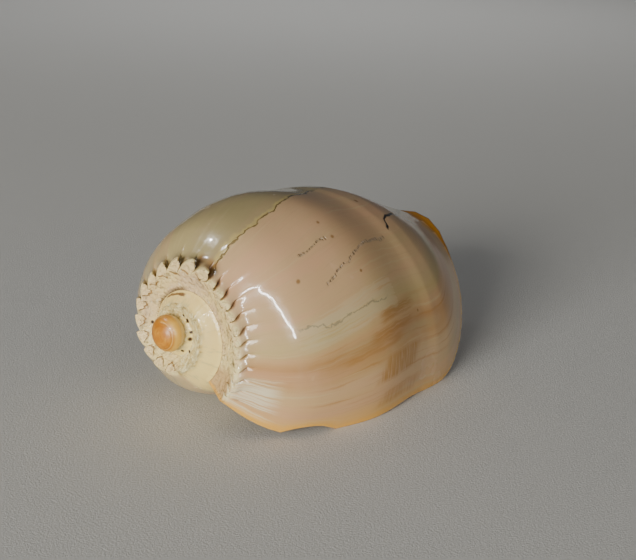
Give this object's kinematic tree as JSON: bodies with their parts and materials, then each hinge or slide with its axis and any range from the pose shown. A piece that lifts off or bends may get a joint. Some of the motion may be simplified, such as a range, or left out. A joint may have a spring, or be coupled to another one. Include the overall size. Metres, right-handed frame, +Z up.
{
  "type": "crowned melon shell",
  "caption": "Large melon-shaped sea snail shell with a crown of short spines round a smooth apex, a wide opening and a folded columella, lying opening down.",
  "frame": {"origin": "centre of the bounding box's base, on the surface that the shell lies on", "axes": "+X towards the shell's front end along its length, +Z up, the lip on the -Y side"},
  "size_m": [0.2105, 0.1342, 0.1057],
  "materials": {
    "shell": "polished shell"
  },
  "bodies": {
    "root": {"shell": "shell"}
  },
  "joints": []
}
